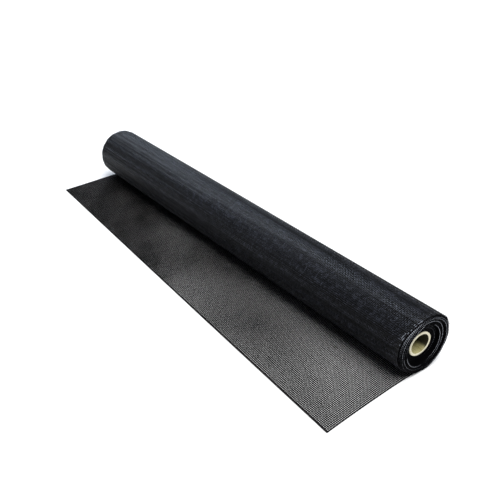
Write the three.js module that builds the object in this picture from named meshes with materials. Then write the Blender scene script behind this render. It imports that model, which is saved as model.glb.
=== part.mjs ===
import * as THREE from "three";

// A roll of black woven screen mesh on a cardboard tube, its loose end lying flat beside it.
// Millimetres. X runs along the roll, +Z is up and the loose end lies toward -Y.

// Roll
const ROLL_HALF_LENGTH = 305;
const ROLL_RADIUS = 34.0;
const AXIS_Y = 47.51;
const AXIS_Z = 33.4;
const TURN_STEP = 1.3;
const WIDER = 1.012;
const LOWER = 0.995;
const MID_SWELL = 0.2;
const COLUMNS = 72;
const STEP_ANGLE = THREE.MathUtils.degToRad(0.5);

// Cardboard tube
const CORE_RADIUS = 13.9;
const CORE_BORE_RADIUS = 11.2;
const CORE_Y = AXIS_Y - 1.8;
const CORE_Z = 31.9;
const CORE_NEAR_X = 299.1;
const CORE_FAR_X = -301.5;
const CORE_COLUMNS = 64;
const GAP = 0.3;

// Loose end
const SHEET_THICKNESS = 1.0;
const SHEET_SWELL = 0.3;
const SHEET_REAR_Y = AXIS_Y - 0.6;
const SHEET_NEAR_LENGTH = 128.7;
const SHEET_FAR_LENGTH = 98.9;
const SHEET_FRONT_BOW = 0.4;
const SHEET_FAR_X = -306.2;
const SHEET_FAR_FRONT_X = -304.6;
const SHEET_NEAR_X = 302;
const SHEET_NEAR_FRONT_X = 306.2;
const SHEET_CELLS_X = 48;
const SHEET_CELLS_Y = 10;

// How far each group of turns is set back from the roll's end, from the rim inward
const NEAR_END = [
  [34.0, 1.0],
  [33.7, 0.3],
  [32.8, 0.0],
  [29.6, 0.0],
  [27.8, 0.8],
  [27.2, 2.0],
  [25.0, 2.2],
  [24.6, 1.2],
  [22.4, 1.6],
  [21.6, 4.8],
  [18.0, 5.6],
  [14.2, 6.2],
];
const FAR_END = [
  [34.0, 1.0],
  [33.5, 0.3],
  [29.4, 0.2],
  [28.8, 1.0],
  [22.0, 0.6],
  [21.4, 2.2],
  [14.2, 3.2],
];

const clothBlack = new THREE.MeshStandardMaterial({ color: 0x17181c, roughness: 0.7 });
const clothGrey = new THREE.MeshStandardMaterial({ color: 0x2e2d2e, roughness: 0.8 });
const cardboard = new THREE.MeshStandardMaterial({ color: 0xcfc39c, roughness: 0.9 });

// Closed section from the far rim along the outside, in at the near end and back through the bore
function rollSection() {
  const points = [];
  const stations = 8;
  const near = ROLL_HALF_LENGTH - NEAR_END[0][1];
  const far = -ROLL_HALF_LENGTH + FAR_END[0][1];
  for (let i = 0; i <= stations; i += 1) {
    const x = THREE.MathUtils.lerp(far, near, i / stations);
    const swell = MID_SWELL * Math.cos((Math.PI * x) / (2 * ROLL_HALF_LENGTH));
    points.push(new THREE.Vector2(ROLL_RADIUS + swell, x));
  }
  for (const [radius, setBack] of NEAR_END.slice(1)) {
    points.push(new THREE.Vector2(radius, ROLL_HALF_LENGTH - setBack));
  }
  for (const [radius, setBack] of FAR_END.slice(1).reverse()) {
    points.push(new THREE.Vector2(radius, -ROLL_HALF_LENGTH + setBack));
  }
  points.push(points[0].clone());
  return points;
}

// Angle round the roll, from its underside up the back and over to the front
function columnAngle(column) {
  if (column === COLUMNS) {
    return 0;
  }
  if (column === COLUMNS - 1) {
    return 2 * Math.PI - STEP_ANGLE;
  }
  return (2 * Math.PI * column) / (COLUMNS - 1);
}

// The turns don't end level: they lean and ripple a little more toward the rim
function endRipple(angle, share, x) {
  if (x > ROLL_HALF_LENGTH - 12) {
    const loose = Math.exp(-(((angle - 5.7) / 0.6) ** 2));
    return share * (0.5 * Math.sin(angle + 0.8) + 0.25 * Math.sin(3 * angle) + 1.8 * loose);
  }
  if (x < -ROLL_HALF_LENGTH + 12) {
    return share * (0.6 * Math.sin(angle + 2.1) + 0.2 * Math.sin(4 * angle));
  }
  return 0;
}

// One solid of the wound form: the radius drops by one turn on the way round, the middle of the
// turns eases from the tube's centre to the roll's, and the underside is pressed flat
function woundRoll() {
  const section = rollSection();
  const geometry = new THREE.LatheGeometry(section, COLUMNS);
  const position = geometry.attributes.position;
  const boreRadius = CORE_RADIUS + GAP;
  for (let column = 0; column <= COLUMNS; column += 1) {
    const angle = columnAngle(column);
    const underside = angle > Math.PI ? SHEET_THICKNESS + GAP : 0;
    for (let k = 0; k < section.length; k += 1) {
      const share = THREE.MathUtils.clamp((section[k].x - boreRadius) / (ROLL_RADIUS - boreRadius), 0, 1);
      const radius = section[k].x - (TURN_STEP * share * angle) / (2 * Math.PI);
      const x = section[k].y + endRipple(angle, share, section[k].y);
      const wider = THREE.MathUtils.lerp(1, WIDER, share);
      const lower = THREE.MathUtils.lerp(1, LOWER, share);
      const y = THREE.MathUtils.lerp(CORE_Y, AXIS_Y, share) + wider * radius * Math.sin(angle);
      const z = THREE.MathUtils.lerp(CORE_Z, AXIS_Z, share) - lower * radius * Math.cos(angle);
      position.setXYZ(column * section.length + k, x, y, Math.max(z, underside));
    }
  }
  geometry.computeVertexNormals();
  const mesh = new THREE.Mesh(geometry, clothBlack);
  mesh.name = "wound_roll";
  return mesh;
}

// Open cardboard tube, set a little inside the roll's ends
function coreTube() {
  const section = [
    new THREE.Vector2(CORE_RADIUS, CORE_FAR_X),
    new THREE.Vector2(CORE_RADIUS, CORE_NEAR_X),
    new THREE.Vector2(CORE_BORE_RADIUS, CORE_NEAR_X),
    new THREE.Vector2(CORE_BORE_RADIUS, CORE_FAR_X),
    new THREE.Vector2(CORE_RADIUS, CORE_FAR_X),
  ];
  const geometry = new THREE.LatheGeometry(section, CORE_COLUMNS);
  geometry.rotateZ(-Math.PI / 2);
  geometry.translate(0, CORE_Y, CORE_Z);
  const mesh = new THREE.Mesh(geometry, cardboard);
  mesh.name = "core_tube";
  return mesh;
}

// Outline of the loose end: along is 0 at the far side, across is 0 at the front edge
function sheetX(along, across) {
  const eased = 1 - (1 - across) ** 2;
  const far = THREE.MathUtils.lerp(SHEET_FAR_FRONT_X, SHEET_FAR_X, across);
  const near = THREE.MathUtils.lerp(SHEET_NEAR_FRONT_X, SHEET_NEAR_X, eased);
  return THREE.MathUtils.lerp(far, near, along);
}

function sheetY(along, across) {
  const bow = SHEET_FRONT_BOW * Math.sin(Math.PI * along);
  const length = THREE.MathUtils.lerp(SHEET_FAR_LENGTH, SHEET_NEAR_LENGTH, along) + bow;
  return SHEET_REAR_Y - length * (1 - across);
}

// Shallow swells of the cloth, none under the roll
function sheetRise(x, y) {
  const free = THREE.MathUtils.smoothstep(AXIS_Y - y, 18, 45);
  const slow = 0.5 + 0.5 * Math.sin(x / 47 + y / 23);
  const slant = 0.5 + 0.5 * Math.sin(x / 29 - y / 34 + 1.7);
  return SHEET_SWELL * free * (0.6 * slow + 0.4 * slant);
}

function looseEnd() {
  const geometry = new THREE.BoxGeometry(1, 1, 1, SHEET_CELLS_X, SHEET_CELLS_Y, 1);
  const position = geometry.attributes.position;
  for (let i = 0; i < position.count; i += 1) {
    const along = position.getX(i) + 0.5;
    const across = position.getY(i) + 0.5;
    const x = sheetX(along, across);
    const y = sheetY(along, across);
    const top = SHEET_THICKNESS + sheetRise(x, y);
    position.setXYZ(i, x, y, position.getZ(i) > 0 ? top : 0);
  }
  geometry.computeVertexNormals();
  const mesh = new THREE.Mesh(geometry, clothGrey);
  mesh.name = "loose_end";
  return mesh;
}

const part = new THREE.Group();
part.add(woundRoll());
part.add(coreTube());
part.add(looseEnd());

export default part;
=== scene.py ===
import math

import bmesh
import bpy
import numpy as np
from mathutils import Matrix, Vector


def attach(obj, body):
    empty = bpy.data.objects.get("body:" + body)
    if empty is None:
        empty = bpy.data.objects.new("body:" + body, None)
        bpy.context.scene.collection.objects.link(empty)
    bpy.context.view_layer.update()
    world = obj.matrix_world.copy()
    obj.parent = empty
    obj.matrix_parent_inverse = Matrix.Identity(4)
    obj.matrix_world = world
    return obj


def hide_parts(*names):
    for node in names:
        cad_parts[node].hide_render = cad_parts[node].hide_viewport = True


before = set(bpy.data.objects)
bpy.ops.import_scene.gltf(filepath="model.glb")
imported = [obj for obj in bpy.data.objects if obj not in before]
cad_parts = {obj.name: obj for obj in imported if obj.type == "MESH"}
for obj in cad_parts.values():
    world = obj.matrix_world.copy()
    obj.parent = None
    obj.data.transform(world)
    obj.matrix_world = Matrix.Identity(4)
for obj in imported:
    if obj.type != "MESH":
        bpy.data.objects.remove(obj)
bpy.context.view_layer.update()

# A roll of black window screen mesh on a cardboard tube, its loose end lying flat beside it.
# Metres. X runs along the roll, the loose end lies toward -Y and Z is up.
# Angles are in radians round the roll, from its underside up the back and over to the front.

MM = 0.001

# Roll, as the solid that it stands for
ROLL_HALF_LENGTH = 305 * MM
ROLL_RADIUS = 34.0 * MM
AXIS_Y = 47.51 * MM
AXIS_Z = 33.4 * MM
WIDER = 1.012
LOWER = 0.995
MID_SWELL = 0.2 * MM
FIRST_TURN_DROP = 1.3 * MM
LAYER = 0.39 * MM

# Cardboard tube
CORE_RADIUS = 13.9 * MM
CORE_BORE_RADIUS = 11.2 * MM
CORE_Y = AXIS_Y - 1.8 * MM
CORE_Z = 31.9 * MM
CORE_NEAR_X = 299.1 * MM
CORE_FAR_X = -301.5 * MM
CORE_END_SLANT = (0.083, 0.02)
CORE_COLUMNS = 96
CORE_RIM_SOFTNESS = 0.35 * MM
INNER_TURN_RADIUS = 14.25 * MM

# Mesh: pitch of the threads, and their flat oval section
PITCH = 1.93 * MM
ROW_WIDTH = 0.64 * MM
CROSS_WIDTH = 0.84 * MM
WOUND_THREAD_WIDTH = 0.62 * MM
THREAD_THICKNESS = 0.36 * MM
CRIMP = 0.24 * MM
CLOTH_HALF = 0.45 * MM
WOUND_INSET = -0.1 * MM
HOOPS = 316
ROUND_THREADS = 108

# Loose end
SHEET_REAR_Y = AXIS_Y - 0.6 * MM
SHEET_NEAR_LENGTH = 128.7 * MM
SHEET_FAR_LENGTH = 98.9 * MM
SHEET_FRONT_BOW = 0.4 * MM
SHEET_FAR_X = -306.2 * MM
SHEET_FAR_FRONT_X = -304.6 * MM
SHEET_NEAR_X = 302 * MM
SHEET_NEAR_FRONT_X = 306.2 * MM
SHEET_SWELL = 0.3 * MM
SHEET_STEPS = 64

# Threads close together at the loose end's edges, in half thread widths from the edge
FRONT_THREADS = (1.0, 2.8, 4.6)
SIDE_THREADS = (0.2, 1.9)

# How far the threads stray from their places, in cells
SHEET_STRAY = 0.02
HOOP_STRAY = 0.12

# Outermost turn: its edges' distance from the roll's ends, and how far its cut threads reach past it
OUTER_NEAR_INSET = 0.7 * MM
OUTER_FAR_INSET = 0.6 * MM
OUTER_EDGE_EASE = 0.2
CUT_THREAD_REACH = 0.5 * MM
LENGTHWISE_STEPS = 72

# Ridges of the outer turns: height in mm, number round the roll, start angle, sideways swing
BROAD_RIDGES = ((0.18, 9, 0.6, 0.5), (0.2, 19, -1.9, -0.8))
FINE_RIDGES = (0.17, 34, 0, 1.3)

# Form just under the outermost turn
BELOW_COLUMNS = 144
BELOW_STATIONS = 24
BELOW_END_INSET = 9 * MM
BELOW_LIFT = 0.1 * MM

# Outer turns that have slipped inward along the front of the roll at its near end
SLIP = 6.2 * MM
SLIPPED_TURNS = 4
SLIP_MIDDLE = 5.0
SLIP_HALF_WIDTH = 1.2

# Strip whose edge is the edge of every turn, one at each end
END_STEPS_A_TURN = 64
END_DEPTH = 13 * MM
END_THICKNESS = 0.27 * MM
NEAR_END_LIMIT = ROLL_HALF_LENGTH + 1.5 * MM

# Set-back of the turns from the roll's ends, in mm, by their radius in mm
NEAR_SET_BACK = (
    (14.2, 6.2), (18.0, 5.6), (21.6, 4.8), (22.4, 1.6), (24.6, 1.2), (25.0, 2.2), (27.2, 2.0),
    (27.8, 0.8), (29.6, 0.0), (33.0, 0.1), (34.0, 0.6),
)
FAR_SET_BACK = ((14.2, 3.2), (21.4, 2.2), (22.0, 0.6), (28.8, 1.0), (29.4, 0.2), (34.0, 0.6))

# How far out the steps between the near end's rings move on the front of the roll
RING_SHIFT = 2.4 * MM
RING_SHIFT_MIDDLE = 4.3
RING_SHIFT_HALF_WIDTH = 1.3

# The inner turns follow the slant of the tube from this radius inward, and fully so past the fade
SLANT_OUTER_RADIUS = 22 * MM
SLANT_FADE = 6 * MM

# Frayed edge of the outermost turns at the near end
FRAYED_MIDDLE = 3.9
FRAYED_HALF_WIDTH = 0.55
FRAYED_CELLS = 4
FRAYED_LANE = 67
FRAYED_LANES = 22

# Turns whose edge stands proud of their neighbours, and is painted pale as a highlight: turn, length in
# turns, rise in mm
PROUD_TURNS = (
    (3.6, 0.5, 0.6), (5.5, 0.6, 0.7), (9.25, 0.5, 1.0), (12.7, 0.7, 0.8), (17.4, 0.7, 1.1),
    (22.8, 0.45, 1.0), (27.35, 0.6, 1.2), (33.5, 0.5, 0.5), (38.35, 0.62, 0.6),
)

# Values of the streak pattern between which the yarn goes from darkest to lightest
STREAK_LOW = 0.4
STREAK_HIGH = 0.6

# Camera, in degrees and metres
CAMERA_AT = (608.4 * MM, -378.2 * MM, 448.9 * MM)
CAMERA_AZIMUTH = 51.488
CAMERA_ELEVATION = 34.826
CAMERA_ROLL = -0.774
CAMERA_LENS = 48.47
CAMERA_SHIFT = (-0.0523, 0.0820)


# Shapes of the cloth

def hump(value, middle, half_width, power=2):
    """1 round the middle, easing to 0 on both sides of it."""
    return np.exp(-(((value - middle) / half_width) ** power))


def turn_radius(turn):
    """Radius of the wound cloth, by how many times round it is from where the loose end leaves."""
    return ROLL_RADIUS - FIRST_TURN_DROP * np.minimum(turn, 1) - LAYER * np.maximum(turn - 1, 0)


TURNS = 1 + (turn_radius(1.0) - INNER_TURN_RADIUS) / LAYER


def wound_length(turn):
    """Length of cloth from the end of the first turn inward."""
    return 2 * np.pi * (turn_radius(1.0) * (turn - 1) - LAYER * (turn - 1) ** 2 / 2)


def ridges(angle, x):
    """Soft lengthwise ridges of the outer turns, which the light draws as bands."""
    along = x / ROLL_HALF_LENGTH
    drift = np.sin(2.3 * along)
    height, count, start, swing = FINE_RIDGES
    total = height * np.sin(count * angle + start + swing * drift) * (0.6 + 0.4 * along)
    for height, count, start, swing in BROAD_RIDGES:
        total = total + height * np.sin(count * angle + start + swing * drift)
    return total * MM


def wound(turn, x, out, share=None):
    """Points of the wound cloth, some way out from its middle layer. A share sets them between
    the innermost turn, 0, and their own turn, 1."""
    angle = 2 * np.pi * turn
    radius = turn_radius(turn)
    if share is None:
        share = np.clip((radius - INNER_TURN_RADIUS) / (ROLL_RADIUS - INNER_TURN_RADIUS), 0, 1)
    else:
        radius = INNER_TURN_RADIUS + share * (radius - INNER_TURN_RADIUS)
    depth = ROLL_RADIUS - radius
    swell = MID_SWELL * np.cos(np.pi * x / (2 * ROLL_HALF_LENGTH))
    radius = radius - WOUND_INSET * share + share**4 * (swell + ridges(angle, x))
    wide = 1 + (WIDER - 1) * share
    low = 1 + (LOWER - 1) * share
    y = CORE_Y + (AXIS_Y - CORE_Y) * share + wide * radius * np.sin(angle)
    z = CORE_Z + (AXIS_Z - CORE_Z) * share - low * radius * np.cos(angle)
    z = z + share**4 * np.maximum(depth + CLOTH_HALF - z, 0)
    return np.stack([x, y + out * np.sin(angle), z - out * np.cos(angle)], 1)


def sheet_x(along, across):
    """Across is 0 at the front edge and 1 under the roll; along is 0 at the far side."""
    far = SHEET_FAR_FRONT_X + (SHEET_FAR_X - SHEET_FAR_FRONT_X) * across
    near = SHEET_NEAR_FRONT_X + (SHEET_NEAR_X - SHEET_NEAR_FRONT_X) * (1 - (1 - across) ** 2)
    return far + (near - far) * along


def sheet_length(along):
    bow = SHEET_FRONT_BOW * np.sin(np.pi * along)
    return SHEET_FAR_LENGTH + (SHEET_NEAR_LENGTH - SHEET_FAR_LENGTH) * along + bow


def sheet_rise(x, y):
    """Shallow swells of the loose end, none under the roll."""
    free = np.clip((AXIS_Y - y - 18 * MM) / (27 * MM), 0, 1)
    free = free * free * (3 - 2 * free)
    slow = 0.5 + 0.5 * np.sin(x / (47 * MM) + y / (23 * MM))
    slant = 0.5 + 0.5 * np.sin(x / (29 * MM) - y / (34 * MM) + 1.7)
    return SHEET_SWELL * free * (0.6 * slow + 0.4 * slant)


# Building

def to_mesh(bm, name):
    mesh = bpy.data.meshes.new(name)
    bm.to_mesh(mesh)
    bm.free()
    return mesh


def rod(length, steps, half_width, half_thickness):
    """A closed flat thread along X from 0 to its length, with a ring of points at every step."""
    bm = bmesh.new()
    bmesh.ops.create_cone(
        bm, cap_ends=True, cap_tris=False, segments=4, radius1=1, radius2=1, depth=length
    )
    bmesh.ops.rotate(bm, verts=bm.verts, matrix=Matrix.Rotation(math.pi / 2, 3, "Y"))
    bmesh.ops.rotate(bm, verts=bm.verts, matrix=Matrix.Rotation(math.pi / 4, 3, "X"))
    corner = 2 ** 0.5
    bmesh.ops.scale(bm, verts=bm.verts, vec=(1, half_width * corner, half_thickness * corner))
    bmesh.ops.translate(bm, verts=bm.verts, vec=(length / 2, 0, 0))
    long_edges = [e for e in bm.edges if abs(e.verts[0].co.x - e.verts[1].co.x) > 1e-9]
    bmesh.ops.subdivide_edges(bm, edges=long_edges, cuts=steps - 1, use_grid_fill=True)
    return bm


def side_by_side(bm, count, step=(0, 1, 0)):
    """Copies of a thread set out in a row."""
    single = bpy.data.objects.new("single", to_mesh(bm, "single"))
    bpy.context.scene.collection.objects.link(single)
    array = single.modifiers.new("row", "ARRAY")
    array.count = count
    array.use_relative_offset = False
    array.use_constant_offset = True
    array.constant_offset_displace = step
    row = bmesh.new()
    row.from_object(single, bpy.context.evaluated_depsgraph_get())
    mesh = single.data
    bpy.data.objects.remove(single)
    bpy.data.meshes.remove(mesh)
    return row


def add_at(bm, mesh, place_at):
    """One more copy of a thread, at a place of its own."""
    mesh.transform(Matrix.Translation(place_at))
    bm.from_mesh(mesh)
    mesh.transform(Matrix.Translation(-Vector(place_at)))


def cut_past(bm, point, direction):
    """Cuts off the threads past a line and closes their ends."""
    geometry = bm.verts[:] + bm.edges[:] + bm.faces[:]
    cut = bmesh.ops.bisect_plane(
        bm, geom=geometry, plane_co=point, plane_no=direction, clear_outer=True
    )
    edges = [item for item in cut["geom_cut"] if isinstance(item, bmesh.types.BMEdge)]
    bmesh.ops.holes_fill(bm, edges=edges, sides=0)


def spun_ring(corners, steps, cuts):
    """A closed ring form: four corners of its section spun round X, with cuts in some sides."""
    bm = bmesh.new()
    verts = [bm.verts.new(corner) for corner in corners]
    edges = [bm.edges.new((verts[i], verts[(i + 1) % 4])) for i in range(4)]
    for side, count in cuts:
        bmesh.ops.subdivide_edges(bm, edges=[edges[side]], cuts=count)
    bmesh.ops.spin(
        bm, geom=bm.verts[:] + bm.edges[:], cent=(0, 0, 0), axis=(1, 0, 0), angle=2 * math.pi,
        steps=steps, use_merge=True,
    )
    bmesh.ops.recalc_face_normals(bm, faces=bm.faces)
    return bm


def points_of(mesh):
    flat = np.empty(3 * len(mesh.vertices), np.float32)
    mesh.vertices.foreach_get("co", flat)
    return flat.reshape(-1, 3).astype(float).T


def place(mesh, points):
    mesh.vertices.foreach_set("co", points.astype(np.float32).ravel())
    mesh.update()


def keep_place_on_cloth(mesh, along, across, extra=0.0):
    """Keeps where each point is on the flat cloth, in cells, for the material's pattern."""
    layer = mesh.attributes.new("on_cloth", "FLOAT_VECTOR", "POINT")
    places = np.stack([along, across, 0 * along + extra], 1)
    layer.data.foreach_set("vector", places.astype(np.float32).ravel())


def piece(name, mesh, material, replaces=None, smooth=True):
    obj = bpy.data.objects.new(name, mesh)
    bpy.context.scene.collection.objects.link(obj)
    mesh.materials.append(material)
    if smooth:
        mesh.shade_smooth()
    else:
        mesh.shade_flat()
    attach(obj, "root")
    if replaces:
        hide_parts(replaces)
    return obj


# Nodes of the materials

def new_material(name):
    material = bpy.data.materials.new(name)
    material.use_nodes = True
    tree = material.node_tree
    return material, tree, tree.nodes["Principled BSDF"]


def connect(tree, node, inputs):
    """Sets each input to a plain value, or links it to the output of another node."""
    for socket, value in inputs.items():
        if isinstance(value, bpy.types.NodeSocket):
            tree.links.new(value, node.inputs[socket])
        else:
            node.inputs[socket].default_value = value


def add_node(tree, kind, inputs, **settings):
    node = tree.nodes.new(kind)
    for setting, value in settings.items():
        setattr(node, setting, value)
    connect(tree, node, inputs)
    return node


def object_place(tree):
    return tree.nodes.new("ShaderNodeTexCoord").outputs["Object"]


def on_cloth_of(tree):
    node = add_node(tree, "ShaderNodeAttribute", {}, attribute_name="on_cloth")
    return node.outputs["Vector"]


def split(tree, vector):
    return add_node(tree, "ShaderNodeSeparateXYZ", {"Vector": vector}).outputs


def calc(tree, operation, *values):
    node = add_node(tree, "ShaderNodeMath", dict(enumerate(values)), operation=operation)
    return node.outputs["Value"]


def scaled(tree, vector, scale):
    node = add_node(tree, "ShaderNodeMapping", {"Vector": vector, "Scale": scale})
    return node.outputs["Vector"]


def times(tree, color, factor):
    inputs = {0: color, "Scale": factor}
    return add_node(tree, "ShaderNodeVectorMath", inputs, operation="SCALE").outputs["Vector"]


def noise(tree, vector, scale, detail, roughness=0.5):
    inputs = {"Vector": vector, "Scale": scale, "Detail": detail, "Roughness": roughness}
    return add_node(tree, "ShaderNodeTexNoise", inputs).outputs["Fac"]


def ramp(tree, value, stops):
    node = add_node(tree, "ShaderNodeValToRGB", {"Fac": value})
    elements = node.color_ramp.elements
    while len(elements) < len(stops):
        elements.new(0.5)
    for element, (position, color) in zip(elements, stops):
        element.position = position
        element.color = (*color, 1)
    return node.outputs["Color"]


def remap(tree, value, low, high, start=0.0, stop=1.0, interpolation="LINEAR"):
    inputs = {"Value": value, "From Min": start, "From Max": stop, "To Min": low, "To Max": high}
    node = add_node(tree, "ShaderNodeMapRange", inputs, interpolation_type=interpolation)
    return node.outputs["Result"]


def bump(tree, height, strength, distance):
    inputs = {"Height": height, "Strength": strength, "Distance": distance}
    return add_node(tree, "ShaderNodeBump", inputs).outputs["Normal"]


def wave(tree, value):
    """1 along the middle of each thread and 0 between them."""
    turned = calc(tree, "COSINE", calc(tree, "MULTIPLY", value, 2 * math.pi))
    return calc(tree, "MULTIPLY_ADD", turned, 0.5, 0.5)


def per_cell(tree, on_cloth):
    """A different value for every crossing of the threads."""
    whole = add_node(tree, "ShaderNodeVectorMath", {0: on_cloth}, operation="FLOOR")
    random = add_node(tree, "ShaderNodeTexWhiteNoise", {"Vector": whole.outputs["Vector"]})
    return random.outputs["Value"]


# Materials

def frayed_edge(tree, on_cloth, random, color):
    """Glass fibre showing at some of the last few crossings toward the near end, round one lane."""
    along, around, _ = split(tree, on_cloth)
    from_end = calc(tree, "SUBTRACT", HOOPS, along)
    near_end = remap(tree, from_end, 1, 0, stop=FRAYED_CELLS)
    from_lane = calc(tree, "ABSOLUTE", calc(tree, "SUBTRACT", around, FRAYED_LANE))
    near_lane = remap(tree, from_lane, 1, 0, stop=FRAYED_LANES)
    chance = calc(tree, "MULTIPLY", near_end, near_lane)
    bare = calc(tree, "GREATER_THAN", calc(tree, "MULTIPLY", chance, random), 0.4)
    inputs = {"Factor": bare, "A": color, "B": (0.22, 0.24, 0.28, 1)}
    return add_node(tree, "ShaderNodeMix", inputs, data_type="RGBA").outputs["Result"]


def coated_yarn(name, dark, light, roughness, streak_size, glint, gloss, frayed=False):
    """Plastic-coated yarn: nearly black, in lengthwise streaks, with painted glints that make some
    crossings brighter.
    """
    material, tree, shader = new_material(name)
    on_cloth = on_cloth_of(tree)
    random = per_cell(tree, on_cloth)
    streaks = noise(tree, scaled(tree, on_cloth, (*streak_size, 1)), 1, 4, 0.6)
    color = ramp(tree, streaks, ((STREAK_LOW, dark), (STREAK_HIGH, light)))
    # Painted glints: crossings picked at random are made brighter in the base colour.
    shine = calc(tree, "MULTIPLY_ADD", calc(tree, "POWER", random, 3), 4 * glint, 1 - glint)
    color = times(tree, color, shine)
    if frayed:
        color = frayed_edge(tree, on_cloth, random, color)
    smoothest, roughest = roughness
    grain = noise(tree, object_place(tree), 900, 2)
    connect(tree, shader, {
        "Base Color": color,
        "Roughness": remap(tree, streaks, roughest, smoothest, STREAK_LOW, STREAK_HIGH),
        "Specular IOR Level": gloss,
        "Normal": bump(tree, grain, 0.35, 0.12 * MM),
    })
    return material


def mesh_layers(name):
    """The turns under the outermost one: threads raised, with painted shade that makes the gaps between
    them near black, as the layers below lie in shade.
    """
    material, tree, shader = new_material(name)
    on_cloth = on_cloth_of(tree)
    along, around, _ = split(tree, on_cloth)
    threads = calc(tree, "MAXIMUM", wave(tree, along), wave(tree, around))
    streaks = noise(tree, scaled(tree, on_cloth, (0.012, 0.35, 1)), 1, 3)
    height = calc(tree, "MULTIPLY", threads, streaks)
    # Painted shade: the colour follows the threads' height, lighter on their tops and near black in the
    # gaps.
    stops = ((0.3, (0.0004, 0.0004, 0.0006)), (0.6, (0.03, 0.033, 0.044)))
    connect(tree, shader, {
        "Base Color": ramp(tree, height, stops),
        "Roughness": remap(tree, streaks, 0.5, 0.75),
        "Specular IOR Level": 0.05,
        "Normal": bump(tree, threads, 0.8, 0.4 * MM),
    })
    return material


def cut_edges(name):
    """Edges of the turns: black yarn, pale with the glass fibre showing where threads are cut, and with
    a painted highlight on the edges of proud turns.
    """
    material, tree, shader = new_material(name)
    along, depth, pale = split(tree, on_cloth_of(tree))
    flat = add_node(tree, "ShaderNodeCombineXYZ", {"X": along}).outputs["Vector"]
    patches = noise(tree, flat, 0.35, 3, 0.6)
    # The pale share holds both the glass fibre and the painted highlight of proud edges.
    shown = calc(tree, "MULTIPLY_ADD", patches, 0.5, calc(tree, "MULTIPLY", pale, 0.55))
    beaded = calc(tree, "MULTIPLY_ADD", wave(tree, along), 0.5, 0.7)
    shown = calc(tree, "MULTIPLY", shown, beaded)
    reach = calc(tree, "SUBTRACT", shown, calc(tree, "MULTIPLY", depth, 1.8))
    stops = ((0.0, (0.0008, 0.0008, 0.0012)), (0.5, (0.002, 0.002, 0.0035)), (0.95, (0.6, 0.63, 0.7)))
    connect(tree, shader, {
        "Base Color": ramp(tree, reach, stops),
        "Roughness": 0.7,
        "Specular IOR Level": 0.03,
    })
    return material


def painted_bore_shade(tree, color):
    """Painted shade: darkens the bore toward its top and rear, where the light does not reach, all but
    its lower front side.
    """
    toward = (0, 0.6, 0.8)
    middle = toward[1] * CORE_Y + toward[2] * CORE_Z
    inputs = {0: object_place(tree), 1: toward}
    height = add_node(tree, "ShaderNodeVectorMath", inputs, operation="DOT_PRODUCT").outputs["Value"]
    lit_share = remap(tree, height, 0.07, 1, middle + 1.5 * MM, middle - 4.5 * MM, "SMOOTHSTEP")
    return times(tree, color, lit_share)


def cardboard(name, dark, light, painted_shade=False):
    """Plain wound paperboard with fibres round the tube and blotches."""
    material, tree, shader = new_material(name)
    fibres = noise(tree, scaled(tree, object_place(tree), (60, 260, 260)), 4, 5, 0.65)
    blotches = noise(tree, object_place(tree), 130, 4, 0.6)
    mixed = calc(tree, "MULTIPLY", calc(tree, "ADD", fibres, blotches), 0.5)
    color = ramp(tree, mixed, ((0.35, dark), (0.65, light)))
    # Painted shade inside the bore, darker toward its top and rear, when asked for.
    if painted_shade:
        color = painted_bore_shade(tree, color)
    connect(tree, shader, {
        "Base Color": color,
        "Roughness": 0.9,
        "Specular IOR Level": 0.2,
        "Normal": bump(tree, fibres, 0.5, 0.3 * MM),
    })
    return material


def floor_white():
    material, tree, shader = new_material("floor_white")
    connect(tree, shader, {
        "Base Color": (0.92, 0.92, 0.92, 1),
        "Roughness": 0.9,
        "Specular IOR Level": 0.1,
    })
    return material


flat_yarn = coated_yarn(
    "flat_mesh_yarn",
    dark=(0.008, 0.0078, 0.0078),
    light=(0.024, 0.0225, 0.0225),
    roughness=(0.65, 0.8),
    streak_size=(0.05, 0.05),
    glint=0.1,
    gloss=0.03,
)
hoop_yarn = coated_yarn(
    "wound_hoop_yarn",
    dark=(0.0015, 0.0017, 0.0024),
    light=(0.024, 0.026, 0.034),
    roughness=(0.24, 0.62),
    streak_size=(0.003, 0.24),
    glint=0.65,
    gloss=0.3,
    frayed=True,
)
long_yarn = coated_yarn(
    "wound_long_yarn",
    dark=(0.0004, 0.0004, 0.0007),
    light=(0.024, 0.026, 0.034),
    roughness=(0.24, 0.7),
    streak_size=(0.004, 0.7),
    glint=0.6,
    gloss=0.3,
)
layers_below = mesh_layers("mesh_layers_below")
edge_yarn = cut_edges("mesh_cut_edges")
paperboard = cardboard("core_paperboard", (0.62, 0.56, 0.38), (0.9, 0.86, 0.70))
# The bore's paper, with painted shade toward its top and rear.
bore_paper = cardboard("core_bore_paper", (0.20, 0.17, 0.06), (0.56, 0.52, 0.27), painted_shade=True)


# Loose end: straight threads along the roll, crimped threads across that go over and under them

def rear_cut():
    """A point on the loose end's edge under the roll, and the way past it, in cells."""
    near = Vector((HOOPS, SHEET_NEAR_LENGTH / PITCH, 0))
    far = Vector((0, SHEET_FAR_LENGTH / PITCH, 0))
    return far, (near - far).cross(Vector((0, 0, -1)))


def lie_on_floor(mesh, crimp):
    """Takes threads from the flat lattice (cells from the far side, cells from the front edge)."""
    u, v, lift = points_of(mesh)
    inside = np.clip(np.minimum(u, HOOPS - u) - 1, 0, 1)
    u = u + SHEET_STRAY * inside * np.sin(12.9 * np.floor(u) + 0.35 * v)
    along = np.clip(u / HOOPS, 0, 1)
    length = sheet_length(along)
    y = SHEET_REAR_Y - length + v * PITCH
    x = sheet_x(along, np.clip(v * PITCH / length, 0, 1))
    side = crimp * np.cos(np.pi * (v + np.floor(u)))
    place(mesh, np.stack([x, y, CLOTH_HALF + lift + side * CRIMP + sheet_rise(x, y)], 1))
    keep_place_on_cloth(mesh, u, v)


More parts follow.
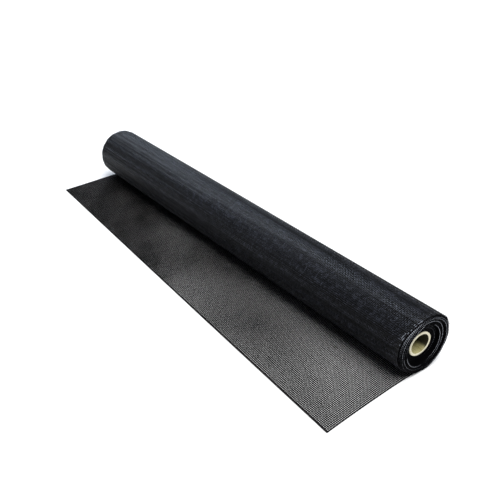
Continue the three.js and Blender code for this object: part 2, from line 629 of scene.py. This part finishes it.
def threads_along(rows):
    half_width = ROW_WIDTH / 2 / PITCH
    thread = rod(HOOPS, SHEET_STEPS, half_width, THREAD_THICKNESS / 2)
    single = to_mesh(thread.copy(), "thread_along")
    threads = side_by_side(thread, rows)
    bmesh.ops.translate(threads, verts=threads.verts, vec=(0, 1, 0))
    for place_at in FRONT_THREADS:
        add_at(threads, single, (0, place_at * half_width, 0))
    bpy.data.meshes.remove(single)
    cut_past(threads, *rear_cut())
    mesh = to_mesh(threads, "threads_along")
    lie_on_floor(mesh, 0)
    return mesh


def threads_across(rows):
    half_width = CROSS_WIDTH / 2 / PITCH
    thread = rod(rows, rows, half_width, THREAD_THICKNESS / 2)
    bmesh.ops.rotate(thread, verts=thread.verts, matrix=Matrix.Rotation(math.pi / 2, 3, "Z"))
    single = to_mesh(thread.copy(), "thread_across")
    threads = side_by_side(thread, HOOPS, (1, 0, 0))
    bmesh.ops.translate(threads, verts=threads.verts, vec=(0.5, 0, 0))
    for place_at in SIDE_THREADS:
        add_at(threads, single, (place_at * half_width, 0, 0))
    for place_at in reversed(SIDE_THREADS):
        add_at(threads, single, (HOOPS - place_at * half_width, 0, 0))
    bpy.data.meshes.remove(single)
    cut_past(threads, *rear_cut())
    mesh = to_mesh(threads, "threads_across")
    lie_on_floor(mesh, 1)
    return mesh


def build_loose_end():
    rows = int(SHEET_NEAR_LENGTH / PITCH) + 1
    whole = bmesh.new()
    for mesh in (threads_along(rows), threads_across(rows)):
        whole.from_mesh(mesh)
        bpy.data.meshes.remove(mesh)
    cloth_mesh = to_mesh(whole, "loose_end_cloth")
    return piece("loose_end_cloth", cloth_mesh, flat_yarn, "loose_end")


cloth = build_loose_end()


# Outermost turn: its hoops go on from the loose end's threads

def angle_round(turn):
    return np.mod(turn, 1) * 2 * np.pi


def slipped_side(turn):
    """1 along the front of the roll, where the outer turns have slipped, and 0 elsewhere."""
    return hump(angle_round(turn), SLIP_MIDDLE, SLIP_HALF_WIDTH, 4)


def outer_x(turn, share):
    """Place along the roll of the outermost turn, by the share of the way from its far edge."""
    eased = np.clip(turn / OUTER_EDGE_EASE, 0, 1)
    near = SHEET_NEAR_X + (ROLL_HALF_LENGTH - OUTER_NEAR_INSET - SHEET_NEAR_X) * eased
    far = SHEET_FAR_X + (-ROLL_HALF_LENGTH + OUTER_FAR_INSET - SHEET_FAR_X) * eased
    return far + (near - far) * share - SLIP * slipped_side(turn) * share**8


def build_hoops(name, first, count):
    """Crimped threads round the roll, side by side, some of them from the first one on."""
    thread = rod(ROUND_THREADS, ROUND_THREADS, WOUND_THREAD_WIDTH / 2, THREAD_THICKNESS / 2)
    mesh = to_mesh(side_by_side(thread, count), name)
    step, lane, lift = points_of(mesh)
    column = np.round(lane)
    number = column + first
    turn = step / ROUND_THREADS
    share = (number + 0.5 + HOOP_STRAY * np.sin(0.9 * number + 9 * turn)) / HOOPS
    x = outer_x(turn, share) + (lane - column)
    side = np.cos(np.pi * (np.round(step) + number))
    place(mesh, wound(turn, x, lift + side * CRIMP))
    keep_place_on_cloth(mesh, number + 0.5, step)
    return piece(name, mesh, hoop_yarn)


def build_lengthwise():
    """Straight threads along the roll, side by side round it."""
    thread = rod(HOOPS, LENGTHWISE_STEPS, WOUND_THREAD_WIDTH / 2, THREAD_THICKNESS / 2)
    mesh = to_mesh(side_by_side(thread, ROUND_THREADS), "outer_turn_lengthwise")
    along, lane, lift = points_of(mesh)
    number = np.round(lane)
    middle = number / ROUND_THREADS
    turn = middle + (lane - number) / (2 * np.pi * turn_radius(middle))
    share = along / HOOPS
    x = outer_x(middle, share) + CUT_THREAD_REACH * np.sign(share - 0.5)
    place(mesh, wound(turn, x, lift))
    keep_place_on_cloth(mesh, along, number)
    return piece("outer_turn_lengthwise", mesh, long_yarn)


build_hoops("outer_turn_hoops_far", 0, HOOPS // 2)
build_hoops("outer_turn_hoops_near", HOOPS // 2, HOOPS - HOOPS // 2)
build_lengthwise()


# Turns below: one closed form from just under the outermost turn to the tube

def build_turns_below():
    # A ring one unit thick, where a point's share of the thickness is its share of the way outward
    end = ROLL_HALF_LENGTH - BELOW_END_INSET
    corners = ((-end, 0, -2), (end, 0, -2), (end, 0, -1), (-end, 0, -1))
    bm = spun_ring(corners, BELOW_COLUMNS, ((0, BELOW_STATIONS - 1),))
    mesh = to_mesh(bm, "turns_below")
    x, y, z = points_of(mesh)

    # The last column is drawn out to a full turn, so that the step back to the first one is short
    angle = np.mod(np.arctan2(y, -z), 2 * np.pi)
    angle[angle > 2 * np.pi - 1e-4] = 0
    angle = np.minimum(angle * BELOW_COLUMNS / (BELOW_COLUMNS - 1), 2 * np.pi - 0.01)
    share = np.hypot(y, z) - 1
    turn = 1 + angle / (2 * np.pi)
    place(mesh, wound(turn, x, BELOW_LIFT, share))

    # Its threads lie a little out of step with those of the outermost turn
    drift = x / ROLL_HALF_LENGTH
    across = turn * (ROUND_THREADS + 9) + 0.6 * np.sin(2.6 * drift + 3 * angle) + 0.4 * drift
    keep_place_on_cloth(mesh, x / PITCH + 0.5 + 0.3 * np.sin(5 * angle), across)
    return piece("turns_below", mesh, layers_below, "wound_roll")


build_turns_below()


# Ends: every turn's edge, wound as one long strip from the outside in

def set_back(radius, table):
    radii, depths = zip(*table)
    return np.interp(radius / MM, radii, depths) * MM


def proudness(turn):
    rise = 0 * turn
    for middle, length, height in PROUD_TURNS:
        rise = rise + height * hump(turn, middle, 0.5 * length, 4)
    return rise


def edge_wander(turn, phase):
    """How far each turn's edge strays: groups of turns together, single turns a little."""
    slow = 0.35 * np.sin(1.3 * turn + phase) + 0.25 * np.sin(2.9 * turn + 1.7 * phase)
    quick = 0.14 * np.sin(2 * np.pi * turn * 1.37 + phase) + 0.12 * np.sin(2 * np.pi * turn * 0.61)
    return (slow + quick) * MM


def near_edge(turn):
    """How far from the roll's middle the edge of the turns lies at the near end, and how pale it is."""
    radius = turn_radius(turn)
    around = angle_round(turn)
    shift = RING_SHIFT * hump(around, RING_SHIFT_MIDDLE, RING_SHIFT_HALF_WIDTH)
    edge = ROLL_HALF_LENGTH - set_back(radius - shift, NEAR_SET_BACK) + edge_wander(turn, 0.4)
    slipped = slipped_side(turn) * np.clip(1 - (turn - 0.8) / SLIPPED_TURNS, 0, 1)
    slant = CORE_END_SLANT[0] * np.sin(around) - CORE_END_SLANT[1] * np.cos(around)
    inner_share = np.clip((SLANT_OUTER_RADIUS - radius) / SLANT_FADE, 0, 1)
    edge = edge - SLIP * slipped + inner_share * slant * radius + proudness(turn) * MM
    frayed = hump(around, FRAYED_MIDDLE, FRAYED_HALF_WIDTH) * np.clip(4 - turn, 0, 1)
    # Pale: proud turns' edges painted light as a highlight, slipped turns' edges paler, frayed turns
    # pale with glass fibre.
    pale = proudness(turn) + 0.4 * np.clip(3 * slipped, 0, 1) + 0.9 * frayed
    return np.minimum(edge, NEAR_END_LIMIT), pale


def far_edge(turn):
    """The same at the far end, which is more even."""
    proud = proudness(turn + 0.45)
    edge = ROLL_HALF_LENGTH - set_back(turn_radius(turn), FAR_SET_BACK) + edge_wander(turn, 2.6)
    # Proud turns' edges are painted pale as a highlight.
    return edge + 0.6 * proud * MM, 0.8 * proud


def build_end_turns(name, edge_of, way):
    """The strip lies at the near end where the way is 1, and at the far end where it is -1."""
    steps = int((TURNS - 1) * END_STEPS_A_TURN)
    mesh = to_mesh(rod(steps, steps, 0.5, 0.5), name)
    step, across, through = points_of(mesh)
    turn = 1 + step / END_STEPS_A_TURN
    edge, pale = edge_of(turn)
    depth = (edge - ROLL_HALF_LENGTH + END_DEPTH) * (0.5 - across)
    place(mesh, wound(turn, (edge - depth) * way, through * END_THICKNESS))
    # The third place holds the paleness: glass fibre and painted highlight.
    keep_place_on_cloth(mesh, wound_length(turn) / PITCH, depth / MM, pale)
    if way < 0:
        mesh.flip_normals()
    return piece(name, mesh, edge_yarn, smooth=False)


build_end_turns("end_turns_near", near_edge, 1)
build_end_turns("end_turns_far", far_edge, -1)


# Cardboard tube with softened rims

def build_core():
    section = (
        (CORE_FAR_X, 0, -CORE_RADIUS), (CORE_NEAR_X, 0, -CORE_RADIUS),
        (CORE_NEAR_X, 0, -CORE_BORE_RADIUS), (CORE_FAR_X, 0, -CORE_BORE_RADIUS),
    )
    bm = spun_ring(section, CORE_COLUMNS, ((0, 11), (2, 11)))
    rims = [e for e in bm.edges if e.calc_face_angle(0) > 1]
    bmesh.ops.bevel(
        bm, geom=rims, offset=CORE_RIM_SOFTNESS, offset_type="OFFSET", affect="EDGES", segments=2,
        profile=0.5, material=-1,
    )
    for face in bm.faces:
        middle = face.calc_center_median()
        if math.hypot(middle.y, middle.z) < CORE_BORE_RADIUS + 0.1 * MM:
            face.material_index = 1
    for vert in bm.verts:
        if vert.co.x > CORE_NEAR_X - 2 * MM:
            vert.co.x += CORE_END_SLANT[0] * vert.co.y + CORE_END_SLANT[1] * vert.co.z
    bmesh.ops.translate(bm, verts=bm.verts, vec=(0, CORE_Y, CORE_Z))
    mesh = to_mesh(bm, "core_cardboard")
    piece("core_cardboard", mesh, paperboard, "core_tube")
    mesh.materials.append(bore_paper)


build_core()


# Floor, light and camera

def build_floor():
    bm = bmesh.new()
    bmesh.ops.create_grid(bm, x_segments=1, y_segments=1, size=15)
    floor = bpy.data.objects.new("floor", to_mesh(bm, "floor"))
    bpy.context.scene.collection.objects.link(floor)
    floor.data.materials.append(floor_white())


def build_world():
    """Soft fill light, with a white backdrop where the camera sees past the floor."""
    world = bpy.data.worlds.new("studio")
    world.use_nodes = True
    tree = world.node_tree
    seen = tree.nodes.new("ShaderNodeLightPath").outputs["Is Camera Ray"]
    connect(tree, tree.nodes["Background"], {
        "Color": (0.88, 0.94, 1, 1),
        "Strength": remap(tree, seen, 0.18, 1.2),
    })
    bpy.context.scene.world = world


def soft_sun(name, toward, strength, spread):
    light = bpy.data.lights.new(name, "SUN")
    light.energy = strength
    light.angle = math.radians(spread)
    obj = bpy.data.objects.new(name, light)
    obj.rotation_euler = Vector(toward).to_track_quat("Z", "Y").to_euler()
    bpy.context.scene.collection.objects.link(obj)


def soft_light(name, location, target, size, power):
    light = bpy.data.lights.new(name, "AREA")
    light.shape = "RECTANGLE"
    light.size, light.size_y = size
    light.color = (0.72, 0.83, 1)
    light.energy = power
    obj = bpy.data.objects.new(name, light)
    obj.visible_camera = False
    obj.location = location
    obj.rotation_euler = (Vector(target) - Vector(location)).to_track_quat("-Z", "Y").to_euler()
    bpy.context.scene.collection.objects.link(obj)


def build_camera():
    camera = bpy.data.cameras.new("camera")
    camera.sensor_width = 36
    camera.lens = CAMERA_LENS
    camera.shift_x, camera.shift_y = CAMERA_SHIFT
    camera.clip_start, camera.clip_end = 0.01, 20
    obj = bpy.data.objects.new("camera", camera)
    azimuth, elevation = math.radians(CAMERA_AZIMUTH), math.radians(CAMERA_ELEVATION)
    ahead = Vector((
        -math.sin(azimuth) * math.cos(elevation),
        math.cos(azimuth) * math.cos(elevation),
        -math.sin(elevation),
    ))
    level = ahead.to_track_quat("-Z", "Y").to_matrix()
    turned = level @ Matrix.Rotation(math.radians(CAMERA_ROLL), 3, "Z")
    obj.location = CAMERA_AT
    obj.rotation_euler = turned.to_euler()
    bpy.context.scene.collection.objects.link(obj)
    bpy.context.scene.camera = obj


build_floor()
build_world()
soft_sun("overhead", toward=(0.32, 0.04, 0.95), strength=3.8, spread=42)
soft_light(
    "far_sheen", location=(-1.02, 0.48, 0.46), target=(-0.15, 0.05, 0.06), size=(0.7, 0.3), power=5.4
)
build_camera()
bpy.context.scene.view_settings.view_transform = "Standard"
